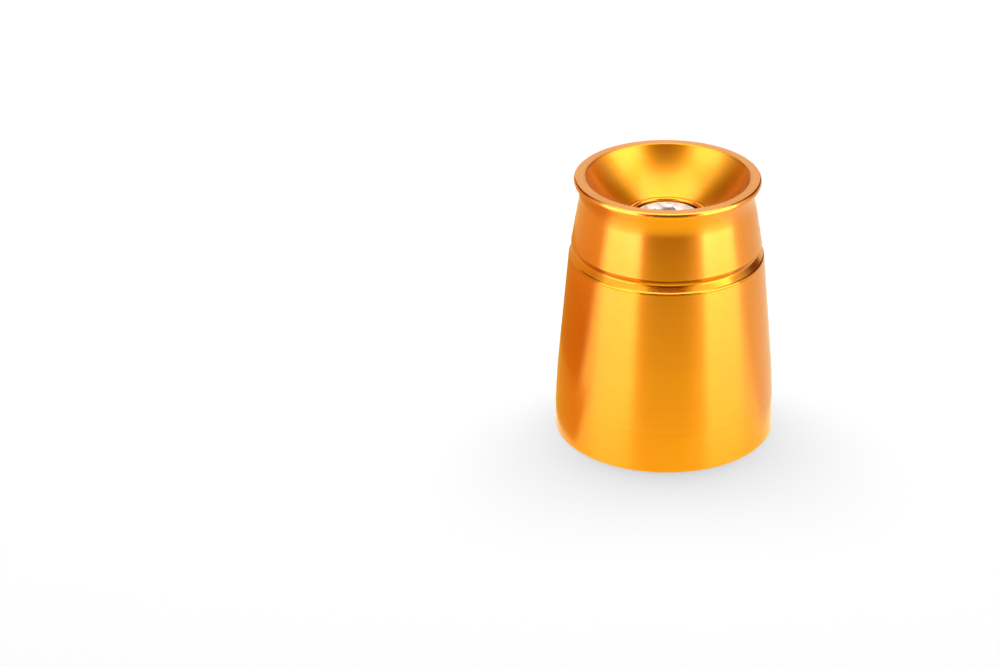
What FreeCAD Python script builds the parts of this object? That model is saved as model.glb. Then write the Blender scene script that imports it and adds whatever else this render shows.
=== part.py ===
import FreeCAD, Part
import math
import os
import Sketcher

# Bar end weight: a turned aluminium weight with a dished outer end, held by a socket head cap screw
# that passes down its middle. It stands on its wide end, which is the end that meets the bar.
# Origin at the centre of the wide end, +Z up the turning axis, sizes in millimetres.

doc = FreeCAD.newDocument("bar_end_weight")
V3 = FreeCAD.Vector

SIZES = [
    ("base_diameter", 34.0, "wide end that meets the bar"),
    ("overall_length", 42.0, "wide end to the lip"),
    ("base_chamfer", 0.4, "broken edge of the wide end"),
    ("curve_height", 12.5, "the flank is curved up to here and straight above"),
    ("flank_taper", 2.15, "how far the flank draws in on its way to the groove"),
    ("collar_step", 0.1, "the upper cone starts this far inside the flank"),
    ("collar_length", 11.75, "middle of the ring groove to the lip"),
    ("groove_depth", 1.0, "bottom of the ring groove below the flank"),
    ("groove_floor", 0.9, "flat bottom of the ring groove"),
    ("groove_slope", 30.0, "lean of the groove's side walls, in degrees"),
    ("groove_chamfer", 0.2, "broken edges of the ring groove"),
    ("neck_depth", 0.75, "how far the neck lies inside the rim"),
    ("neck_radius", 5.0, "hollow flare from the neck to the rim"),
    ("rim_diameter", 28.4, "widest place of the rim"),
    ("rim_band", 0.8, "lip to the lower edge of the rim's upright band"),
    ("rim_chamfer", 0.35, "broken outer edge of the lip"),
    ("lip_width", 1.75, "rim to the edge of the dish"),
    ("lip_chamfer", 0.2, "broken edge between lip and dish"),
    ("dish_depth", 6.2, "lip to the floor of the dish"),
    ("floor_width", 0.6, "flat ring round the mouth of the counterbore"),
    ("counterbore_chamfer", 0.35, "broken mouth of the counterbore"),
    ("bore_chamfer", 0.6, "broken edge of the hole at the wide end"),
    ("head_clearance", 1.0, "counterbore over the head of the screw"),
    ("head_sinking", 0.1, "top of the head below the floor of the dish"),
    ("shank_clearance", 0.6, "bore over the shank of the screw"),
    ("head_diameter", 10.0, "cylindrical head of the screw"),
    ("head_height", 6.0, "height of the head"),
    ("head_chamfer", 0.45, "broken top edge of the head"),
    ("socket_width", 5.0, "hexagon socket across flats"),
    ("socket_depth", 3.0, "flats of the socket, below the top of the head"),
    ("socket_mouth", 6.9, "cone that leads into the socket"),
    ("socket_point", 118.0, "drill point under the socket, in degrees"),
    ("shank_diameter", 6.0, "outside of the thread"),
    ("shank_length", 25.0, "under the head to the tip"),
    ("shank_chamfer", 0.8, "chamfered first turn of the thread"),
    ("root_chamfer", 0.2, "thickening where the shank meets the head"),
]

# Sizes that follow from the ones on the sheet.
GROOVE_HEIGHT = "sizes.overall_length - sizes.collar_length"
SHOULDER_RADIUS = "sizes.base_diameter / 2 - sizes.flank_taper"
COLLAR_RADIUS = SHOULDER_RADIUS + " - sizes.collar_step"
RIM_RADIUS = "sizes.rim_diameter / 2"
BAND_HEIGHT = "sizes.overall_length - sizes.rim_band"
NECK_CENTRE = "sizes.rim_diameter / 2 - sizes.neck_depth + sizes.neck_radius"
LIP_RADIUS = "sizes.rim_diameter / 2 - sizes.lip_width"
BORE_DIAMETER = "sizes.shank_diameter + sizes.shank_clearance"
COUNTERBORE_DIAMETER = "sizes.head_diameter + sizes.head_clearance"
COUNTERBORE_DEPTH = "sizes.head_height + sizes.head_sinking"
FLOOR_RADIUS = "(" + COUNTERBORE_DIAMETER + ") / 2 + sizes.floor_width"
FLOOR_HEIGHT = "sizes.overall_length - sizes.dish_depth"
WALL_RISE = "2 * sizes.groove_depth * tan(sizes.groove_slope * 1 deg)"
SEAT_HEIGHT = "sizes.overall_length - sizes.dish_depth - sizes.head_height - sizes.head_sinking"

sheet = doc.addObject("Spreadsheet::Sheet", "sizes")
for row, (alias, number, meaning) in enumerate(SIZES, start=1):
    sheet.set("A%d" % row, alias)
    sheet.set("B%d" % row, str(number))
    sheet.set("C%d" % row, meaning)
    sheet.setAlias("B%d" % row, alias)
doc.recompute()


def value(formula):
    """The number that a formula on the sheet gives."""
    result = sheet.evalExpression(formula)
    return float(getattr(result, "Value", result))


def origin_feature(body, role):
    return [item for item in body.Origin.OriginFeatures if item.Role == role][0]


def new_sketch(body, name, role, height=None):
    """A sketch on one of the body's own origin planes, raised along its normal by a sheet formula."""
    sketch = body.newObject("Sketcher::SketchObject", name)
    sketch.AttachmentSupport = [(origin_feature(body, role), "")]
    sketch.MapMode = "FlatFace"
    if height:
        sketch.setExpression(".AttachmentOffset.Base.z", height)
    return sketch


def bind(sketch, kind, refs, formula, name):
    """A named dimension that follows a formula on the sheet."""
    target = {"x": "DistanceX", "y": "DistanceY", "radius": "Radius", "diameter": "Diameter"}[kind]
    index = sketch.addConstraint(Sketcher.Constraint(target, *refs, value(formula)))
    sketch.renameConstraint(index, name)
    sketch.setExpression("Constraints." + name, formula)


def from_origin(sketch, kind, geometry, point, formula, name):
    bind(sketch, kind, (-1, 1, geometry, point), formula, name)


def line(x1, y1, x2, y2):
    return Part.LineSegment(V3(x1, y1, 0), V3(x2, y2, 0))


def arc_about(centre, radius, start, end):
    """An anticlockwise arc, its ends given in radians."""
    circle = Part.Circle(V3(centre[0], centre[1], 0), V3(0, 0, 1), radius)
    return Part.ArcOfCircle(circle, start, end)


def close_chain(sketch, joins):
    for first, first_end, second, second_end in joins:
        sketch.addConstraint(Sketcher.Constraint("Coincident", first, first_end, second, second_end))


def turn(body, sketch, name, kind):
    """A full turn of a profile about the body's axis, adding or cutting."""
    feature = body.newObject("PartDesign::" + kind, name)
    feature.Profile = sketch
    feature.ReferenceAxis = (sketch, ["V_Axis"])
    feature.Angle = 360.0
    sketch.Visibility = False
    doc.recompute()
    return feature


def circle_edge(shape, radius, height):
    """The name of the round edge that lies nearest to a radius and a height."""
    nearest, name = None, None
    for number, edge in enumerate(shape.Edges, start=1):
        if not isinstance(edge.Curve, Part.Circle):
            continue
        away = math.hypot(edge.Curve.Radius - radius, edge.Curve.Center.z - height)
        if nearest is None or away < nearest:
            nearest, name = away, "Edge%d" % number
    return name


def chamfer(body, base, name, places, formula):
    """A chamfer on round edges, each place a radius and a height."""
    feature = body.newObject("PartDesign::Chamfer", name)
    edges = [circle_edge(base.Shape, radius, height) for radius, height in places]
    feature.Base = (base, edges)
    feature.setExpression("Size", formula)
    doc.recompute()
    return feature


# Weight: the turned blank. One profile goes up the outside, over the rim and down into the dish.

weight = doc.addObject("PartDesign::Body", "weight")
weight.Label = "weight"

base_r = value("sizes.base_diameter / 2")
top = value("sizes.overall_length")
groove_z = value(GROOVE_HEIGHT)
shoulder_r = value(SHOULDER_RADIUS)
collar_r = value(COLLAR_RADIUS)
neck_arc = value("sizes.neck_radius")
rim_r = value(RIM_RADIUS)
band_z = value(BAND_HEIGHT)
lip_r = value(LIP_RADIUS)
floor_r = value(FLOOR_RADIUS)
floor_z = value(FLOOR_HEIGHT)

# The flank's curve is upright at the wide end and turns into the straight taper by a small angle.
curve_z = value("sizes.curve_height")
taper_angle = value("sizes.flank_taper") / (groove_z - curve_z / 2)
flank_arc = curve_z / math.sin(taper_angle)
flank_centre = (base_r - flank_arc, 0)
taper_start_r = flank_centre[0] + flank_arc * math.cos(taper_angle)

# The neck's hollow flares out to the lower edge of the rim's band.
neck_x = value(NECK_CENTRE)
neck_centre = (neck_x, band_z - math.sqrt(neck_arc ** 2 - (neck_x - rim_r) ** 2))
flare_angle = math.atan2(band_z - neck_centre[1], rim_r - neck_centre[0])

# The upper cone leaves the groove in a straight line that touches the neck's hollow.
run_x, run_z = neck_centre[0] - collar_r, neck_centre[1] - groove_z
run = math.hypot(run_x, run_z)
cone_angle = math.atan2(run_z, run_x) + math.asin(neck_arc / run)
cone_length = math.sqrt(run ** 2 - neck_arc ** 2)
cone_end = (collar_r + cone_length * math.cos(cone_angle), groove_z + cone_length * math.sin(cone_angle))
cone_touch = math.atan2(cone_end[1] - neck_centre[1], cone_end[0] - neck_centre[0]) % (2 * math.pi)

# The dish is part of a ball whose centre lies on the axis, at equal distance from its lip and its floor.
ball_z = (lip_r ** 2 - floor_r ** 2 + top ** 2 - floor_z ** 2) / (2 * (top - floor_z))
ball_r = math.hypot(lip_r, top - ball_z)
dish_start = math.atan2(floor_z - ball_z, floor_r)
dish_end = math.atan2(top - ball_z, lip_r)

blank = new_sketch(weight, "blank_profile", "XZ_Plane")
BASE, CURVE, TAPER, STEP, CONE, NECK, BAND, LIP, DISH, FLOOR, AXIS = range(11)
blank.addGeometry([
    line(0, 0, base_r, 0),
    arc_about(flank_centre, flank_arc, 0, taper_angle),
    line(taper_start_r, curve_z, shoulder_r, groove_z),
    line(shoulder_r, groove_z, collar_r, groove_z),
    line(collar_r, groove_z, cone_end[0], cone_end[1]),
    arc_about(neck_centre, neck_arc, flare_angle, cone_touch),
    line(rim_r, band_z, rim_r, top),
    line(rim_r, top, lip_r, top),
    arc_about((0, ball_z), ball_r, dish_start, dish_end),
    line(floor_r, floor_z, 0, floor_z),
    line(0, floor_z, 0, 0),
])
close_chain(blank, [
    (-1, 1, BASE, 1), (BASE, 2, CURVE, 1), (TAPER, 2, STEP, 1), (STEP, 2, CONE, 1), (NECK, 1, BAND, 1),
    (BAND, 2, LIP, 1), (LIP, 2, DISH, 2), (DISH, 1, FLOOR, 1), (FLOOR, 2, AXIS, 1), (AXIS, 2, BASE, 1),
])
for level in (BASE, STEP, LIP, FLOOR):
    blank.addConstraint(Sketcher.Constraint("Horizontal", level))
for upright in (BAND, AXIS):
    blank.addConstraint(Sketcher.Constraint("Vertical", upright))
blank.addConstraint(Sketcher.Constraint("PointOnObject", CURVE, 3, -1))
blank.addConstraint(Sketcher.Constraint("PointOnObject", DISH, 3, -2))
blank.addConstraint(Sketcher.Constraint("Tangent", CURVE, 2, TAPER, 1))
blank.addConstraint(Sketcher.Constraint("Tangent", CONE, 2, NECK, 2))
from_origin(blank, "x", BASE, 2, "sizes.base_diameter / 2", "base_radius")
from_origin(blank, "y", TAPER, 1, "sizes.curve_height", "curve_level")
from_origin(blank, "x", STEP, 1, SHOULDER_RADIUS, "shoulder_radius")
from_origin(blank, "y", STEP, 1, GROOVE_HEIGHT, "groove_level")
from_origin(blank, "x", STEP, 2, COLLAR_RADIUS, "collar_radius")
bind(blank, "radius", (NECK,), "sizes.neck_radius", "neck_curve")
from_origin(blank, "x", NECK, 3, NECK_CENTRE, "neck_centre")
from_origin(blank, "x", BAND, 1, RIM_RADIUS, "rim_radius")
from_origin(blank, "y", BAND, 1, BAND_HEIGHT, "band_level")
from_origin(blank, "x", LIP, 2, LIP_RADIUS, "lip_radius")
from_origin(blank, "y", LIP, 2, "sizes.overall_length", "lip_level")
from_origin(blank, "x", FLOOR, 1, FLOOR_RADIUS, "floor_radius")
from_origin(blank, "y", FLOOR, 1, FLOOR_HEIGHT, "floor_level")
turned_blank = turn(weight, blank, "turned_blank", "Revolution")

# Ring groove: a tool with sloping sides, run in once between the lower flank and the upper cone.
# Its path starts as far outside the flank as the groove is deep.

groove_deep = value("sizes.groove_depth")
floor_half = value("sizes.groove_floor / 2")
wall_rise = value(WALL_RISE)
groove_sketch = new_sketch(weight, "groove_profile", "XZ_Plane")
BOTTOM, UPPER_WALL, MOUTH, LOWER_WALL = range(4)
groove_corners = [
    (shoulder_r - groove_deep, groove_z - floor_half),
    (shoulder_r - groove_deep, groove_z + floor_half),
    (shoulder_r + groove_deep, groove_z + floor_half + wall_rise),
    (shoulder_r + groove_deep, groove_z - floor_half - wall_rise),
]
for side in range(4):
    groove_sketch.addGeometry(line(*groove_corners[side], *groove_corners[(side + 1) % 4]))
close_chain(groove_sketch, [(side, 2, (side + 1) % 4, 1) for side in range(4)])
for upright in (BOTTOM, MOUTH):
    groove_sketch.addConstraint(Sketcher.Constraint("Vertical", upright))
from_origin(groove_sketch, "x", BOTTOM, 1, SHOULDER_RADIUS + " - sizes.groove_depth", "bottom_radius")
from_origin(groove_sketch, "x", MOUTH, 1, SHOULDER_RADIUS + " + sizes.groove_depth", "mouth_radius")
from_origin(groove_sketch, "y", BOTTOM, 1, GROOVE_HEIGHT + " - sizes.groove_floor / 2", "bottom_level")
bind(groove_sketch, "y", (BOTTOM, 1, BOTTOM, 2), "sizes.groove_floor", "bottom_width")
for wall, name in ((UPPER_WALL, "upper_rise"), (LOWER_WALL, "lower_rise")):
    bind(groove_sketch, "y", (wall, 1, wall, 2), WALL_RISE, name)
ring_groove = turn(weight, groove_sketch, "ring_groove", "Groove")

# Screw hole: a clearance hole right through, with a flat counterbore in the floor of the dish.

bore_r = value(BORE_DIAMETER) / 2
counterbore_r = value(COUNTERBORE_DIAMETER) / 2
hole_sketch = new_sketch(weight, "hole_centre", "XY_Plane", FLOOR_HEIGHT)
hole_sketch.addGeometry(Part.Circle(V3(0, 0, 0), V3(0, 0, 1), bore_r))
close_chain(hole_sketch, [(-1, 1, 0, 3)])
bind(hole_sketch, "diameter", (0,), BORE_DIAMETER, "hole_circle")
doc.recompute()
screw_hole = weight.newObject("PartDesign::Hole", "screw_hole")
screw_hole.Profile = hole_sketch
screw_hole.DepthType = "ThroughAll"
screw_hole.Threaded = False
screw_hole.HoleCutType = "Counterbore"
screw_hole.setExpression("Diameter", BORE_DIAMETER)
screw_hole.setExpression("HoleCutDiameter", COUNTERBORE_DIAMETER)
screw_hole.setExpression("HoleCutDepth", COUNTERBORE_DEPTH)
hole_sketch.Visibility = False
doc.recompute()

# Edges: those of the groove, the lip, the counterbore and the wide end are broken by small chamfers.

mouth_half = floor_half + wall_rise / 2
groove_edges = [(shoulder_r, groove_z - mouth_half), (collar_r, groove_z + mouth_half)]
groove_edge = chamfer(weight, screw_hole, "groove_edge", groove_edges, "sizes.groove_chamfer")
rim_edge = chamfer(weight, groove_edge, "rim_edge", [(rim_r, top)], "sizes.rim_chamfer")
lip_edge = chamfer(weight, rim_edge, "lip_edge", [(lip_r, top)], "sizes.lip_chamfer")
mouth_edge = chamfer(weight, lip_edge, "mouth_edge", [(counterbore_r, floor_z)], "sizes.counterbore_chamfer")
base_edge = chamfer(weight, mouth_edge, "base_edge", [(base_r, 0)], "sizes.base_chamfer")
bore_edge = chamfer(weight, base_edge, "bore_edge", [(bore_r, 0)], "sizes.bore_chamfer")

# Screw: a socket head cap screw, turned from its tip to its head, standing on the counterbore's floor.
# Its own origin is under the head, and its thread is kept as the plain cylinder that the crests lie on.

screw = doc.addObject("PartDesign::Body", "cap_screw")
screw.Label = "cap_screw"
screw.setExpression(".Placement.Base.z", SEAT_HEIGHT)

head_r = value("sizes.head_diameter / 2")
head_top = value("sizes.head_height")
shank_r = value("sizes.shank_diameter / 2")
tip_z = -value("sizes.shank_length")
tip_cut = value("sizes.shank_chamfer")

screw_sketch = new_sketch(screw, "screw_profile", "XZ_Plane")
TIP, TIP_CONE, SHANK, SEAT, HEAD, CROWN, MIDDLE = range(7)
screw_sketch.addGeometry([
    line(0, tip_z, shank_r - tip_cut, tip_z),
    line(shank_r - tip_cut, tip_z, shank_r, tip_z + tip_cut),
    line(shank_r, tip_z + tip_cut, shank_r, 0),
    line(shank_r, 0, head_r, 0),
    line(head_r, 0, head_r, head_top),
    line(head_r, head_top, 0, head_top),
    line(0, head_top, 0, tip_z),
])
close_chain(screw_sketch, [
    (TIP, 2, TIP_CONE, 1), (TIP_CONE, 2, SHANK, 1), (SHANK, 2, SEAT, 1), (SEAT, 2, HEAD, 1),
    (HEAD, 2, CROWN, 1), (CROWN, 2, MIDDLE, 1), (MIDDLE, 2, TIP, 1),
])
for level in (TIP, SEAT, CROWN):
    screw_sketch.addConstraint(Sketcher.Constraint("Horizontal", level))
for upright in (SHANK, HEAD):
    screw_sketch.addConstraint(Sketcher.Constraint("Vertical", upright))
for end in (1, 2):
    screw_sketch.addConstraint(Sketcher.Constraint("PointOnObject", MIDDLE, end, -2))
screw_sketch.addConstraint(Sketcher.Constraint("PointOnObject", SEAT, 1, -1))
from_origin(screw_sketch, "x", SHANK, 2, "sizes.shank_diameter / 2", "shank_radius")
bind(screw_sketch, "y", (TIP, 2, -1, 1), "sizes.shank_length", "tip_level")
bind(screw_sketch, "x", (TIP_CONE, 1, TIP_CONE, 2), "sizes.shank_chamfer", "tip_width")
bind(screw_sketch, "y", (TIP_CONE, 1, TIP_CONE, 2), "sizes.shank_chamfer", "tip_height")
from_origin(screw_sketch, "x", HEAD, 2, "sizes.head_diameter / 2", "head_radius")
from_origin(screw_sketch, "y", HEAD, 2, "sizes.head_height", "head_level")
turned_screw = turn(screw, screw_sketch, "turned_screw", "Revolution")

# Socket: a cone leads into the pressed hexagon, which ends in a drill point.

hexagon = new_sketch(screw, "socket_hexagon", "XY_Plane", "sizes.head_height")
flat_r = value("sizes.socket_width / 2")
corner_r = value("sizes.socket_width") / math.sqrt(3)
corners = [V3(corner_r, 0, 0), V3(corner_r / 2, flat_r, 0), V3(-corner_r / 2, flat_r, 0),
           V3(-corner_r, 0, 0), V3(-corner_r / 2, -flat_r, 0), V3(corner_r / 2, -flat_r, 0)]
for k in range(6):
    hexagon.addGeometry(Part.LineSegment(corners[k], corners[(k + 1) % 6]))
guide = hexagon.addGeometry(Part.Circle(V3(0, 0, 0), V3(0, 0, 1), corner_r), True)
close_chain(hexagon, [(k, 2, (k + 1) % 6, 1) for k in range(6)] + [(-1, 1, guide, 3)])
for k in range(6):
    hexagon.addConstraint(Sketcher.Constraint("PointOnObject", k, 1, guide))
for k in range(1, 6):
    hexagon.addConstraint(Sketcher.Constraint("Equal", 0, k))
hexagon.addConstraint(Sketcher.Constraint("PointOnObject", 0, 1, -1))
bind(hexagon, "radius", (guide,), "sizes.socket_width / sqrt(3)", "corner_radius")
doc.recompute()
socket = screw.newObject("PartDesign::Pocket", "socket")
socket.Profile = hexagon
socket.setExpression("Length", "sizes.socket_depth")
hexagon.Visibility = False
doc.recompute()

lead_in = new_sketch(screw, "socket_lead_in", "XZ_Plane")
lead_r = value("sizes.socket_mouth / 2")
floor_of_socket = head_top - value("sizes.socket_depth")
point_slope = math.tan(math.radians(90 - value("sizes.socket_point") / 2))
lead_in.addGeometry([
    line(0, head_top, lead_r, head_top),
    line(lead_r, head_top, 0, head_top - lead_r),
    line(0, head_top - lead_r, 0, head_top),
])
close_chain(lead_in, [(0, 2, 1, 1), (1, 2, 2, 1), (2, 2, 0, 1)])
lead_in.addConstraint(Sketcher.Constraint("Horizontal", 0))
lead_in.addConstraint(Sketcher.Constraint("PointOnObject", 0, 1, -2))
lead_in.addConstraint(Sketcher.Constraint("PointOnObject", 1, 2, -2))
from_origin(lead_in, "y", 0, 2, "sizes.head_height", "mouth_level")
from_origin(lead_in, "x", 0, 2, "sizes.socket_mouth / 2", "mouth_radius")
bind(lead_in, "y", (1, 2, 1, 1), "sizes.socket_mouth / 2", "mouth_slope")
socket_mouth = turn(screw, lead_in, "socket_mouth", "Groove")

drill = new_sketch(screw, "drill_point", "XZ_Plane")
drill.addGeometry([
    line(0, floor_of_socket, flat_r, floor_of_socket),
    line(flat_r, floor_of_socket, 0, floor_of_socket - flat_r * point_slope),
    line(0, floor_of_socket - flat_r * point_slope, 0, floor_of_socket),
])
close_chain(drill, [(0, 2, 1, 1), (1, 2, 2, 1), (2, 2, 0, 1)])
drill.addConstraint(Sketcher.Constraint("Horizontal", 0))
drill.addConstraint(Sketcher.Constraint("PointOnObject", 0, 1, -2))
drill.addConstraint(Sketcher.Constraint("PointOnObject", 1, 2, -2))
from_origin(drill, "y", 0, 2, "sizes.head_height - sizes.socket_depth", "point_level")
from_origin(drill, "x", 0, 2, "sizes.socket_width / 2", "point_radius")
bind(drill, "y", (1, 2, 1, 1), "sizes.socket_width / 2 * tan(90 deg - sizes.socket_point * 1 deg / 2)",
     "point_depth")
socket_end = turn(screw, drill, "socket_end", "Groove")

head_edge = chamfer(screw, socket_end, "head_edge", [(head_r, head_top)], "sizes.head_chamfer")
head_root = chamfer(screw, head_edge, "head_root", [(shank_r, 0)], "sizes.root_chamfer")

doc.recompute()

# Every feature has to be sound, and every cut has to take something away.

for item in doc.Objects:
    if "Invalid" in item.State or "Error" in item.State:
        raise RuntimeError("%s failed: %s" % (item.Name, item.State))
for sketch in (blank, groove_sketch, hole_sketch, screw_sketch, hexagon, lead_in, drill):
    if not sketch.FullyConstrained:
        raise RuntimeError("%s is not fully constrained" % sketch.Name)
for before, after in ((turned_blank, ring_groove), (ring_groove, screw_hole), (turned_screw, socket),
                      (socket, socket_mouth), (socket_mouth, socket_end)):
    if after.Shape.Volume >= before.Shape.Volume:
        raise RuntimeError("%s cuts nothing" % after.Name)

os.makedirs("parts", exist_ok=True)
for body in (weight, screw):
    shape = body.Shape
    if shape.isNull() or not shape.isValid() or len(shape.Solids) != 1:
        raise RuntimeError("%s is not one valid solid" % body.Label)
    shape.exportStep("parts/%s.step" % body.Label)
    print(body.Label, "volume", round(shape.Volume, 1), "box", shape.BoundBox)
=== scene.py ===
import bmesh
import bpy
import math
from mathutils import Matrix


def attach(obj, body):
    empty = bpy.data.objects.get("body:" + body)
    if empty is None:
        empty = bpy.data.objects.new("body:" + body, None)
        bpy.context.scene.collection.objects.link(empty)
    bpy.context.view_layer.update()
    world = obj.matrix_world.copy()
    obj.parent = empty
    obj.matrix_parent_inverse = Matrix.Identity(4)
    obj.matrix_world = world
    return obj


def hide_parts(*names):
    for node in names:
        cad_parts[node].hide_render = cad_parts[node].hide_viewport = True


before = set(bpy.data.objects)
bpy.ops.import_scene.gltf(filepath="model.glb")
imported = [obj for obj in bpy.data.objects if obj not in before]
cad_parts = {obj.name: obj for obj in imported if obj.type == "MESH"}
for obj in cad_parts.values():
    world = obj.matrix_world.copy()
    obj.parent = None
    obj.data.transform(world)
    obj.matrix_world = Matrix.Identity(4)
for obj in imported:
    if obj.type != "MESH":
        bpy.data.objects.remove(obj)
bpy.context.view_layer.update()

# The weight. One bar of aluminium, turned all over on a lathe to a wide flat end, a flank that draws
# in, a ring groove and a neck with a flared rim and a dished end. It is bored and counterbored for
# its screw, and then anodised gold over the turning lines.

mm = 0.001
length = 42.0 * mm
wide_end_radius = 17.0 * mm
wide_end_edge = 0.35 * mm
curve_height = 12.5 * mm
shoulder_radius = 14.85 * mm
lower_lip_height = 29.3 * mm
lower_lip_edge = 0.12 * mm
lip_bevel = 0.25 * mm
lip_bevel_rise = 0.17 * mm
lip_bevel_edge = 0.04 * mm
groove_height = 30.25 * mm
groove_lower_wall_faces = 43.0
groove_upper_wall_faces = -60.0
groove_corner = 0.2 * mm
groove_round = 1.15 * mm
upper_lip_height = 31.3 * mm
upper_lip_edge = 0.08 * mm
collar_radius = 14.75 * mm
neck_radius = 13.45 * mm
neck_hollow = 5.0 * mm
rim_radius = 14.2 * mm
rim_band = 0.8 * mm
rim_lower_edge = 0.38 * mm
rim_upper_edge = 0.42 * mm
dish_radius = 12.45 * mm
dish_edge = 0.16 * mm
dish_floor_height = 35.8 * mm
dish_floor_radius = 6.1 * mm
dish_floor_edge = 0.12 * mm
counterbore_radius = 5.5 * mm
counterbore_depth = 6.1 * mm
counterbore_mouth_edge = 0.34 * mm
counterbore_floor_edge = 0.1 * mm
bore_radius = 3.3 * mm
bore_chamfer = 0.6 * mm
bore_edge = 0.05 * mm
facets_round = 288


class Turning:
    """The outline of a turned piece: its straight and round cuts, and how far each edge is broken."""

    end_gap = 0.02 * mm
    edge_steps = 7

    def __init__(self, radius, height):
        self.here = (radius, height)
        self.cuts = []

    def straight(self, radius, height, edge=0.0):
        """A straight cut to a radius and a height, and how far the edge at its end is broken."""
        (r0, z0), (r1, z1) = self.here, (radius, height)
        reach = math.hypot(r1 - r0, z1 - z0)
        along = ((r1 - r0) / reach, (z1 - z0) / reach)

        def at(way):
            return (r0 + along[0] * way, z0 + along[1] * way), along

        self.cuts.append((at, reach, [self.end_gap, reach - self.end_gap], edge))
        self.here = (radius, height)

    def sweep(self, centre, turn, facet, edge=0.0):
        """A round cut about a centre, anticlockwise above zero. The turn and a facet are in degrees."""
        size = math.dist(self.here, centre)
        start = math.atan2(self.here[1] - centre[1], self.here[0] - centre[0])
        side = math.copysign(1.0, turn)
        reach = size * math.radians(abs(turn))

        def at(way):
            angle = start + side * way / size
            point = (centre[0] + size * math.cos(angle), centre[1] + size * math.sin(angle))
            return point, (-side * math.sin(angle), side * math.cos(angle))

        steps = max(2, round(abs(turn) / facet))
        self.cuts.append((at, reach, [reach * k / steps for k in range(1, steps)], edge))
        self.here = at(reach)[0]

    def points(self, closed=True):
        """The points of the outline, with every broken edge as a smooth round."""
        found = [] if closed else [self.cuts[0][0](0.0)[0]]
        for k, (at, reach, between, edge) in enumerate(self.cuts):
            before = self.cuts[k - 1][3] if closed or k else 0.0
            found += [at(way)[0] for way in between if before < way < reach - edge]
            if not edge or (k == len(self.cuts) - 1 and not closed):
                found.append(at(reach)[0])
                continue
            next_cut = self.cuts[(k + 1) % len(self.cuts)][0]
            (a, along), (b, onward) = at(reach - edge), next_cut(edge)
            cross = along[0] * onward[1] - along[1] * onward[0]
            way = ((b[0] - a[0]) * onward[1] - (b[1] - a[1]) * onward[0]) / cross
            knee = (a[0] + along[0] * way, a[1] + along[1] * way)
            half = math.acos(max(-1.0, min(1.0, along[0] * onward[0] + along[1] * onward[1]))) / 2
            for step in range(self.edge_steps + 1):
                t = step / self.edge_steps
                shares = ((1 - t) ** 2, 2 * t * (1 - t) * math.cos(half), t * t)
                found.append(tuple(sum(share * corner[axis] for share, corner in zip(shares, (a, knee, b)))
                                   / sum(shares) for axis in (0, 1)))
        return found


def facing(degrees):
    """The direction that a cut faces, outward and up."""
    return math.cos(math.radians(degrees)), math.sin(math.radians(degrees))


def moved(place, way, direction):
    """The place that lies some way off in a direction."""
    return tuple(here + way * part for here, part in zip(place, direction))


def ring(radius, height, facets):
    """A row of points round the axis."""
    return [(radius * math.cos(math.tau * k / facets), radius * math.sin(math.tau * k / facets), height)
            for k in range(facets)]


def bring_in(name, data):
    """Puts a mesh, a lamp or a camera into the scene."""
    thing = bpy.data.objects.new(name, data)
    bpy.context.scene.collection.objects.link(thing)
    return thing


def turned_skin(name, rows, facets):
    """A mesh from rows of points round the axis, each joined to the next and the last to the first."""
    faces = []
    for row in range(len(rows)):
        upper = (row + 1) % len(rows)
        for k in range(facets):
            after = (k + 1) % facets
            faces.append((row * facets + k, row * facets + after,
                          upper * facets + after, upper * facets + k))
    mesh = bpy.data.meshes.new(name)
    mesh.from_pydata([point for row in rows for point in row], [], faces)
    mesh.validate()
    mesh.shade_smooth()
    return bring_in(name, mesh)


profile = Turning(bore_radius + bore_chamfer, 0.0)
profile.straight(wide_end_radius, 0.0, edge=wide_end_edge)

# The flank leaves the wide end upright and curves into a straight taper that ends at the groove.
taper = (wide_end_radius - shoulder_radius) / (groove_height - curve_height / 2)
flank_curve = curve_height / math.sin(taper)
profile.sweep((wide_end_radius - flank_curve, 0.0), math.degrees(taper), facet=0.35)
lower_lip_radius = shoulder_radius + (groove_height - lower_lip_height) * taper
profile.straight(lower_lip_radius, lower_lip_height, edge=lower_lip_edge)
profile.straight(lower_lip_radius - lip_bevel, lower_lip_height + lip_bevel_rise, edge=lip_bevel_edge)

# The cone above the groove runs into the hollow flare below the rim without an edge.
neck_centre_radius = neck_radius + neck_hollow
neck_centre = (neck_centre_radius,
               length - rim_band - math.sqrt(neck_hollow ** 2 - (neck_centre_radius - rim_radius) ** 2))
to_neck = (neck_centre[0] - collar_radius, neck_centre[1] - groove_height)
cone = math.atan2(to_neck[1], to_neck[0]) + math.asin(neck_hollow / math.hypot(*to_neck))
cone_reach = math.sqrt(math.hypot(*to_neck) ** 2 - neck_hollow ** 2)
cone_end = (collar_radius + cone_reach * math.cos(cone), groove_height + cone_reach * math.sin(cone))
upper_lip = (collar_radius + (upper_lip_height - groove_height) / math.tan(cone), upper_lip_height)

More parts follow.
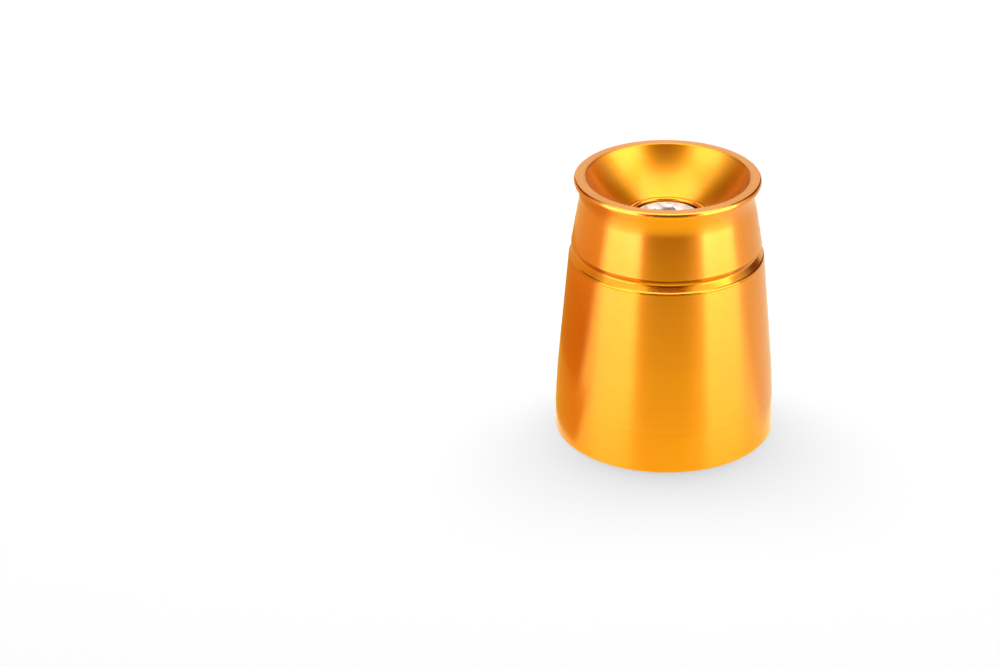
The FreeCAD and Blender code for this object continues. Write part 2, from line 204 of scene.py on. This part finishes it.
# The groove's straight lower wall is just long enough for its corner and round wall to end at the lip.
lower_wall, inward = facing(groove_lower_wall_faces), facing(groove_lower_wall_faces + 90.0)
deepest, upper_wall = facing(0.0), facing(groove_upper_wall_faces)
to_lip = [upper_lip[k] - profile.here[k] - groove_corner * (lower_wall[k] - deepest[k])
          - groove_round * (deepest[k] - upper_wall[k]) for k in (0, 1)]
wall_length = ((to_lip[0] * upper_wall[0] + to_lip[1] * upper_wall[1])
               / (inward[0] * upper_wall[0] + inward[1] * upper_wall[1]))
profile.straight(*moved(profile.here, wall_length, inward))
profile.sweep(moved(profile.here, groove_corner, lower_wall), -groove_lower_wall_faces, facet=6.0)
profile.sweep(moved(profile.here, groove_round, deepest), groove_upper_wall_faces, facet=4.0)
profile.straight(*upper_lip, edge=upper_lip_edge)
profile.straight(*cone_end)
flare_from = math.atan2(cone_end[1] - neck_centre[1], cone_end[0] - neck_centre[0]) % math.tau
flare_to = math.atan2(length - rim_band - neck_centre[1], rim_radius - neck_centre[0]) % math.tau
profile.sweep(neck_centre, math.degrees(flare_to - flare_from), facet=2.0, edge=rim_lower_edge)
profile.straight(rim_radius, length, edge=rim_upper_edge)
profile.straight(dish_radius, length, edge=dish_edge)

# The dish is part of a ball. It runs from the rim's inner edge to a narrow flat round the counterbore.
ball_height = ((dish_radius ** 2 - dish_floor_radius ** 2 + length ** 2 - dish_floor_height ** 2)
               / (2 * (length - dish_floor_height)))
dish_from = math.atan2(length - ball_height, dish_radius)
dish_to = math.atan2(dish_floor_height - ball_height, dish_floor_radius)
profile.sweep((0.0, ball_height), math.degrees(dish_to - dish_from), facet=1.5, edge=dish_floor_edge)
profile.straight(counterbore_radius, dish_floor_height, edge=counterbore_mouth_edge)
profile.straight(counterbore_radius, dish_floor_height - counterbore_depth, edge=counterbore_floor_edge)
profile.straight(bore_radius, dish_floor_height - counterbore_depth, edge=counterbore_floor_edge)
profile.straight(bore_radius, bore_chamfer, edge=bore_edge)
profile.straight(bore_radius + bore_chamfer, 0.0, edge=bore_edge)

weight_rows = [ring(radius, height, facets_round) for radius, height in profile.points()]
weight = turned_skin("turned_weight", weight_rows, facets_round)
weight.visible_diffuse = False  # The table takes no gold light from the metal.
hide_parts("weight")
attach(weight, "root")


class Shade:
    """A socket of a material's node tree that takes part in sums, each of which adds a Math node."""

    def __init__(self, tree, socket=None):
        self.tree = tree
        self.socket = socket

    def node(self, kind, settings=None, inputs=None, output=0):
        """Any node: its settings are made first, then the values or links of its sockets."""
        made = self.tree.nodes.new(kind)
        for name, setting in (settings or {}).items():
            setattr(made, name, setting)
        for name, given in (inputs or {}).items():
            if isinstance(given, Shade):
                self.tree.links.new(given.socket, made.inputs[name])
            else:
                made.inputs[name].default_value = given
        return Shade(self.tree, made.outputs[output]) if made.outputs else None

    def beside(self, output):
        """Another output of the node that this socket belongs to."""
        return Shade(self.tree, self.socket.node.outputs[output])

    def maths(self, operation, first, second=0.0):
        return self.node("ShaderNodeMath", {"operation": operation}, {0: first, 1: second})

    def __add__(self, other):
        return self.maths("ADD", self, other)

    __radd__ = __add__

    def __mul__(self, other):
        return self.maths("MULTIPLY", self, other)

    __rmul__ = __mul__

    def __sub__(self, other):
        return self.maths("SUBTRACT", self, other)

    def __rsub__(self, other):
        return self.maths("SUBTRACT", other, self)

    def __truediv__(self, other):
        return self.maths("DIVIDE", self, other)

    def __rtruediv__(self, other):
        return self.maths("DIVIDE", other, self)

    def __pow__(self, other):
        return self.maths("POWER", self, other)

    def __rpow__(self, other):
        return self.maths("POWER", other, self)

    def __abs__(self):
        return self.maths("ABSOLUTE", self)

    def largest(self, other):
        return self.maths("MAXIMUM", self, other)

    def step(self, low, high):
        """Runs smoothly from 0 at low to 1 at high."""
        return self.node("ShaderNodeMapRange", {"interpolation_type": "SMOOTHSTEP"},
                         {"Value": self, "From Min": low, "From Max": high})

    def band(self, low, full, fading, high):
        """Rises smoothly from 0 at low to 1 at full, and falls from 1 at fading to 0 at high."""
        return self.step(low, full) * (1.0 - self.step(fading, high))

    def blend(self, colour, other):
        """One colour where this is 0, the other where it is 1. Sockets 6 and 7 are the node's colours."""
        return self.node("ShaderNodeMix", {"data_type": "RGBA"}, {0: self, 6: colour, 7: other}, output=2)


def new_material(name):
    """An empty material, and the shade that its nodes are made from."""
    material = bpy.data.materials.new(name)
    material.use_nodes = True
    material.node_tree.nodes.clear()
    return material, Shade(material.node_tree)


def places(shade):
    """The place on the piece, and how far it lies from the origin along X, Y and Z."""
    place = shade.node("ShaderNodeTexCoord", output="Object")
    split = shade.node("ShaderNodeSeparateXYZ", inputs={0: place})
    return place, split, split.beside("Y"), split.beside("Z")


def lathe_places(shade):
    """The place on the piece, and its distance from the axis and its height in millimetres."""
    place, x, y, z = places(shade)
    return place, (x * x + y * y) ** 0.5 / mm, z / mm


def noise(shade, dimensions, place, scale, detail, roughness):
    """Cloudy noise in the object's own places, in metres or in lathe millimetres."""
    return shade.node("ShaderNodeTexNoise", {"noise_dimensions": dimensions},
                      {"Vector": place, "Scale": scale, "Detail": detail, "Roughness": roughness})


anodised, shade = new_material("gold_anodising")
place, out_from_axis, height = lathe_places(shade)
track = shade.node("ShaderNodeCombineXYZ", inputs={0: out_from_axis, 1: height})
fine_lines = noise(shade, "2D", track, scale=26.0, detail=3.0, roughness=0.65)
broad_lines = noise(shade, "2D", track, scale=3.0, detail=2.0, roughness=0.5)
dye_clouds = noise(shade, "3D", place, scale=110.0, detail=3.0, roughness=0.6)
shading = (dye_clouds * 0.6 + broad_lines * 0.4).step(0.35, 0.65)

# Where each cut's own finish and the groove's painted shade begin and end, in millimetres of height or
# from the axis.
groove = height.band(28.9, 29.1, 31.3, 31.5)
floor_less_painted_shade = height.band(30.0, 30.1, 30.3, 30.42)
roof_painted_shade = height.band(30.34, 30.5, 31.15, 31.3)
rim = height.step(40.9, 41.2)
inside = (1.0 - out_from_axis.step(12.5, 13.0)) * height.step(26.0, 29.0)
counterbore = 1.0 - out_from_axis.step(6.1, 6.4)

flank_gold = shading.blend((0.965, 0.31, 0.0, 1.0), (1.0, 0.337, 0.0, 1.0))
painted_shade_brown = (0.42, 0.21, 0.0, 1.0)
# Painted shade: the groove's gold blends toward a dark brown, darkest on the groove's roof and lightest
# along its floor.
gold = (groove * 0.3 + roof_painted_shade * 0.4 - floor_less_painted_shade * 0.2).blend(flank_gold, painted_shade_brown)
# Painted shade: the gold inside the dish is darker than the flank's, across the whole range of its dye
# clouds and lines.
dish_gold = shading.blend((0.79, 0.305, 0.0, 1.0), (0.84, 0.33, 0.0, 1.0))
line_roughness = fine_lines * 0.03
turned_lines = {
    "Metallic": 1.0,
    "Anisotropic Rotation": 0.25,
    "Normal": shade.node("ShaderNodeBump", inputs={
        "Strength": 0.014, "Distance": 0.02 * mm, "Height": fine_lines + broad_lines * 0.06}),
}
anodic_film = {"Coat Weight": 1.0, "Coat Roughness": 0.1, "Coat IOR": 1.2}
outside_finish = shade.node("ShaderNodeBsdfPrincipled", inputs={
    **turned_lines,
    **anodic_film,
    "Base Color": gold,
    "Roughness": line_roughness + 0.29 - (groove * 0.14 + rim * 0.12),
    "Anisotropic": 0.93,
})
dish_finish = shade.node("ShaderNodeBsdfPrincipled", inputs={
    **turned_lines,
    **anodic_film,
    "Base Color": dish_gold,
    "Roughness": line_roughness + 0.38 - counterbore * 0.24,
    "Anisotropic": 0.5,
})
film_glare = shade.node("ShaderNodeBsdfPrincipled", inputs={
    **turned_lines,
    "Base Color": (1.0, 0.97, 0.93, 1.0),
    "Roughness": 0.32,
    "Anisotropic": 0.9,
})
dyed = shade.node("ShaderNodeMixShader", inputs={0: inside, 1: outside_finish, 2: dish_finish})
glare_share = 0.052 - (inside + groove) * 0.034
surface = shade.node("ShaderNodeMixShader", inputs={0: glare_share, 1: dyed, 2: film_glare})
shade.node("ShaderNodeOutputMaterial", inputs={"Surface": surface})
weight.data.materials.append(anodised)

# The cap screw. A stainless M6 screw, cold headed with a rounded top edge and a hexagon socket behind
# a conical mouth, its thread rolled up to the head. The head sits on the counterbore's floor and the
# shank goes down the bore.

seat_height = 29.7 * mm
head_radius = 5.0 * mm
head_top = seat_height + 6.0 * mm
head_round = 0.6 * mm
head_lower_edge = 0.2 * mm
head_fillet = 0.25 * mm
mouth_radius = 3.12 * mm
mouth_edge = 0.04 * mm
mouth_cone_depth = 0.08 * mm
flat_radius = 2.6 * mm
wall_edge = 0.03 * mm
socket_turn = math.radians(37.0)
socket_floor = head_top - 3.0 * mm
point_slope = math.tan(math.radians(31.0))
shank_radius = 2.98 * mm
under_head_radius = shank_radius - 0.06 * mm
pitch = 1.0 * mm
thread_depth = 0.6 * mm
thread_top = seat_height - 0.3 * mm
run_out = 1.2 * mm
crest_share = 0.14
wall_share = 0.66
tip_height = seat_height - 25.0 * mm
tip_radius = 2.2 * mm
facets_screw = 96
steps_a_turn = 12


def thread_row(step):
    """One row of the thread, which climbs a pitch on its way round, cut off at both of its ends."""
    row = []
    phase = abs((step / steps_a_turn) % 1.0 - 0.5) * 2
    cut = min(1.0, max(0.0, (phase - crest_share) / wall_share))
    for k in range(facets_screw):
        turn = k / facets_screw
        height = tip_height - pitch + pitch * (step / steps_a_turn + turn)
        height = min(max(height, tip_height), thread_top)
        fade = min(1.0, max(0.0, (thread_top - height) / run_out))
        radius = (shank_radius - thread_depth * cut * fade * fade * (3 - 2 * fade)
                  - (shank_radius - under_head_radius) * (1 - fade))
        radius = min(radius, tip_radius + height - tip_height)
        row.append((radius * math.cos(math.tau * turn), radius * math.sin(math.tau * turn), height))
    return row


def hexagon(angle):
    """How far the socket's walls lie from the axis, at an angle round it."""
    return flat_radius / math.cos((angle - socket_turn + math.pi / 6) % (math.pi / 3) - math.pi / 6)


def mouth_cone(radius):
    """How high the cone of the socket's mouth is, at a distance from the axis."""
    return head_top - mouth_radius + radius


def around(radius_at, height_at):
    """A row of points whose radius and height both change round the axis."""
    row = []
    for k in range(facets_screw):
        angle = math.tau * k / facets_screw
        radius = radius_at(angle)
        row.append((radius * math.cos(angle), radius * math.sin(angle), height_at(radius)))
    return row


turns = math.ceil((thread_top - tip_height) / pitch) + 2
thread_rows = [thread_row(step) for step in range(turns * steps_a_turn + 1)]

head = Turning(under_head_radius, thread_top)
head.straight(under_head_radius, seat_height, edge=head_fillet)
head.straight(head_radius, seat_height, edge=head_lower_edge)
head.straight(head_radius, head_top, edge=head_round)
head.straight(mouth_radius, head_top, edge=mouth_edge)
head.straight(mouth_radius - mouth_cone_depth, head_top - mouth_cone_depth)
head_rows = [ring(radius, height, facets_screw) for radius, height in head.points(closed=False)]

wall_rows = [
    around(lambda angle: hexagon(angle) + 0.02 * mm, mouth_cone),
    around(hexagon, lambda radius: mouth_cone(radius) - wall_edge),
    around(hexagon, lambda radius: mouth_cone(radius) - 2 * wall_edge),
    around(hexagon, lambda radius: socket_floor + 0.08 * mm),
    around(hexagon, lambda radius: socket_floor),
]
floor_rows = [ring(radius, socket_floor - (flat_radius - radius) * point_slope, facets_screw)
              for radius in (flat_radius, flat_radius - 0.1 * mm, 0.05 * mm)]


def join_screw(name):
    """The thread, the head and the socket as one closed skin."""
    work = bmesh.new()

    def lay(rows, shift):
        """Joins rows of points. A thread's rows meet the ones a pitch higher after a full turn."""
        made = [[work.verts.new(point) for point in row] for row in rows]
        for low in range(len(made) - 1):
            for k in range(facets_screw):
                full_turn = k == facets_screw - 1
                across = low + shift if full_turn else low
                after = 0 if full_turn else k + 1
                if across + 1 < len(made):
                    work.faces.new((made[low][k], made[across][after],
                                    made[across + 1][after], made[low + 1][k]))

    lay(thread_rows, shift=steps_a_turn)
    lay(head_rows + wall_rows + floor_rows, shift=0)
    tip = work.verts.new((0.0, 0.0, tip_height))
    tip_ring = [work.verts.new(point) for point in ring(tip_radius, tip_height, facets_screw)]
    drill_point = work.verts.new((0.0, 0.0, socket_floor - flat_radius * point_slope))
    drill_ring = [work.verts.new(point) for point in floor_rows[-1]]
    for k in range(facets_screw):
        after = (k + 1) % facets_screw
        work.faces.new((tip, tip_ring[after], tip_ring[k]))
        work.faces.new((drill_point, drill_ring[k], drill_ring[after]))
    same_place = 0.0005 * mm
    bmesh.ops.remove_doubles(work, verts=work.verts, dist=same_place)
    bmesh.ops.dissolve_degenerate(work, dist=same_place, edges=work.edges)
    bmesh.ops.recalc_face_normals(work, faces=work.faces)
    mesh = bpy.data.meshes.new(name)
    work.to_mesh(mesh)
    work.free()
    mesh.shade_smooth()
    mesh.set_sharp_from_angle(angle=math.radians(32.0))
    return bring_in(name, mesh)


screw = join_screw("socket_screw")
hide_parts("cap_screw")
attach(screw, "root")

stainless, shade = new_material("stainless_steel")
place, out_from_axis, height = lathe_places(shade)
grain = noise(shade, "3D", place, scale=5200.0, detail=2.0, roughness=0.6)
clouds = noise(shade, "3D", place, scale=700.0, detail=2.0, roughness=0.5)
steel = clouds.step(0.35, 0.65).blend((0.52, 0.51, 0.5, 1.0), (0.86, 0.86, 0.86, 1.0))
head_face = (height - head_top / mm).step(-0.3, -0.1)
etched_steel = shade.node("ShaderNodeBsdfPrincipled", inputs={
    "Base Color": steel,
    "Metallic": 1.0,
    "Roughness": clouds * 0.12 + 0.3 + head_face * 0.22,
    "Normal": shade.node("ShaderNodeBump", inputs={
        "Strength": 0.25, "Distance": 0.02 * mm, "Height": grain}),
})
shade.node("ShaderNodeOutputMaterial", inputs={"Surface": etched_steel})
screw.data.materials.append(stainless)

# The studio. A small white table in a white room, with a tall soft lamp on either side and a wide one
# overhead for the metal, and a lamp of its own for the table. The cards and curtains round the weight
# show only as reflections in the metal.

table_front, table_back, table_side = 0.14, 0.40, 0.22
table_drop = 0.02 * mm
table_mesh = bpy.data.meshes.new("table")
table_mesh.from_pydata([(-table_side, -table_front, 0.0), (table_side, -table_front, 0.0),
                        (table_side, table_back, 0.0), (-table_side, table_back, 0.0)], [], [(0, 1, 2, 3)])
table = bring_in("table", table_mesh)
table.location.z = -table_drop


def sight(shade):
    """Whether the camera sees a place, and whether metal or glass does."""
    camera_sees = shade.node("ShaderNodeLightPath", output="Is Camera Ray")
    glass_sees = camera_sees.beside("Is Transmission Ray")
    return camera_sees, camera_sees.beside("Is Glossy Ray").largest(glass_sees)


white_board, shade = new_material("white_board")
camera_sees, metal_sees = sight(shade)
board = shade.node("ShaderNodeBsdfPrincipled", inputs={
    "Base Color": (0.72, 0.72, 0.72, 1.0),
    "Roughness": 0.9,
    "Specular IOR Level": 0.0,
    "Emission Color": camera_sees * 0.285 + metal_sees * 0.54,
    "Emission Strength": 1.0,
})
shade.node("ShaderNodeOutputMaterial", inputs={"Surface": board})
table_mesh.materials.append(white_board)

room = bpy.data.worlds.new("white_room")
bpy.context.scene.world = room
room.use_nodes = True
room.node_tree.nodes.clear()
shade = Shade(room.node_tree)
camera_sees, metal_sees = sight(shade)
walls = shade.node("ShaderNodeBackground", inputs={
    "Color": camera_sees.largest(metal_sees).blend((0.2, 0.2, 0.2, 1.0), (1.0, 1.0, 1.0, 1.0)),
    "Strength": 1.0,
})
shade.node("ShaderNodeOutputWorld", inputs={"Surface": walls})


def soft_lamp(name, azimuth, elevation, distance, width, height, radiance, lean=0.0, on_metal=True):
    """A square lamp that faces the weight's middle, with the brightness of its face."""
    data = bpy.data.lights.new(name, "AREA")
    data.shape = "RECTANGLE"
    data.size, data.size_y = width, height
    data.energy = radiance * math.pi * width * height
    lamp = bring_in(name, data)
    lamp.matrix_world = (Matrix.Translation((0.0, 0.0, 20.0 * mm))
                         @ Matrix.Rotation(math.radians(azimuth), 4, "Z")
                         @ Matrix.Rotation(math.radians(90.0 - elevation), 4, "X")
                         @ Matrix.Translation((0.0, 0.0, distance))
                         @ Matrix.Rotation(math.radians(lean), 4, "Z"))
    lamp.visible_camera = False
    lamp.visible_diffuse = not on_metal
    lamp.visible_glossy = on_metal


soft_lamp("left_lamp", azimuth=-60.0, elevation=12.0, distance=0.5, width=0.40, height=0.70, radiance=2.25,
          lean=20.0)
soft_lamp("right_lamp", azimuth=62.5, elevation=12.0, distance=0.5, width=0.42, height=0.70, radiance=2.65)
soft_lamp("top_lamp", azimuth=185.0, elevation=86.0, distance=0.6, width=0.66, height=0.56, radiance=1.9)
soft_lamp("table_lamp", azimuth=180.0, elevation=74.0, distance=0.6, width=0.8, height=0.45, radiance=4.0,
          on_metal=False)


def stage_glow(name, colour, clear=None, full=None):
    """A stage colour that lamps don't change, and that can fade in between two azimuths off the front."""
    material, shade = new_material(name)
    glow = shade.node("ShaderNodeEmission", inputs={"Color": colour, "Strength": 1.0})
    if clear is not None:
        _, x, y, _ = places(shade)
        off_front = abs(shade.maths("ARCTAN2", x, 0.0 - y)) * math.degrees(1.0)
        glow = shade.node("ShaderNodeMixShader", inputs={
            0: off_front.step(clear, full), 1: shade.node("ShaderNodeBsdfTransparent"), 2: glow})
    shade.node("ShaderNodeOutputMaterial", inputs={"Surface": glow})
    return material


def curtain(name, material, radius, left, right, low, high, foot=None):
    """A curved cloth or card round the weight, between two azimuths, that only the metal mirrors."""
    steps = 24
    sweep = [math.radians(left + (right - left) * k / steps) for k in range(steps + 1)]
    mesh = bpy.data.meshes.new(name)
    mesh.from_pydata([(reach * math.sin(angle), -reach * math.cos(angle), height)
                      for reach, height in ((foot or radius, low), (radius, high)) for angle in sweep],
                     [], [(k, k + 1, k + steps + 2, k + steps + 1) for k in range(steps)])
    mesh.materials.append(material)
    cloth = bring_in(name, mesh)
    cloth.visible_camera = False
    cloth.visible_diffuse = False
    cloth.visible_shadow = False


front_cloth, shade = new_material("front_cloth")
off_middle = abs(places(shade)[1])
front_brown = off_middle.step(0.17, 0.37).blend((0.19, 0.058, 0.0, 1.0), (0.62, 0.36, 0.06, 1.0))
front_glow = shade.node("ShaderNodeEmission", inputs={"Color": front_brown, "Strength": 1.0})
shade.node("ShaderNodeOutputMaterial", inputs={"Surface": front_glow})
table_card = stage_glow("table_card", (1.15, 1.12, 0.15, 1.0), clear=140.0, full=30.0)
foot_card = stage_glow("foot_card", (0.8, 0.48, 0.05, 1.0), clear=57.0, full=67.0)
amber_card = stage_glow("amber_card", (0.64, 0.28, 0.02, 1.0), clear=66.0, full=78.0)
pale_card = stage_glow("pale_card", (0.86, 0.58, 0.2, 1.0))
pink_card = stage_glow("pink_card", (0.93, 0.82, 0.55, 1.0), clear=68.0, full=82.0)
grey_card = stage_glow("grey_card", (0.88, 0.88, 0.82, 1.0))
brown_cloth = stage_glow("brown_cloth", (0.18, 0.05, 0.01, 1.0), clear=95.0, full=125.0)

curtain("front_table_card", table_card, radius=0.14, left=-140.0, right=140.0,
        low=-table_drop / 2, high=-table_drop / 2, foot=0.016)
curtain("front_curtain", front_cloth, radius=0.6, left=-34.5, right=36.5, low=-0.4, high=1.65)
curtain("left_foot_card", foot_card, radius=0.024, left=-150.0, right=-57.0, low=0.0, high=0.008,
        foot=0.0185)
curtain("left_card", amber_card, radius=0.032, left=-150.0, right=-66.0, low=0.008, high=0.024, foot=0.024)
curtain("left_pale_card", pale_card, radius=0.032, left=-150.0, right=-70.0, low=0.024, high=0.045)
curtain("right_card", pink_card, radius=0.05, left=68.0, right=140.0, low=0.0, high=0.036, foot=0.021)
curtain("back_curtain", grey_card, radius=0.7, left=158.0, right=202.0, low=0.08, high=1.0)
curtain("right_back_curtain", brown_cloth, radius=0.7, left=95.0, right=158.0, low=0.08, high=0.9)
curtain("left_back_curtain", brown_cloth, radius=0.7, left=-158.0, right=-95.0, low=0.08, high=0.9)

camera_place = (-25.606 * mm, -387.073 * mm, 212.427 * mm)
camera_fall = math.radians(26.952)
camera_roll = math.radians(-0.670)
camera_data = bpy.data.cameras.new("camera")
camera_data.sensor_width = 36.0
camera_data.lens = 100.7
camera_data.clip_start = 0.01
camera = bring_in("camera", camera_data)
camera.matrix_world = (Matrix.Translation(camera_place)
                       @ Matrix.Rotation(math.pi / 2 - camera_fall, 4, "X")
                       @ Matrix.Rotation(camera_roll, 4, "Z"))
bpy.context.scene.camera = camera
bpy.context.scene.view_settings.view_transform = "Standard"
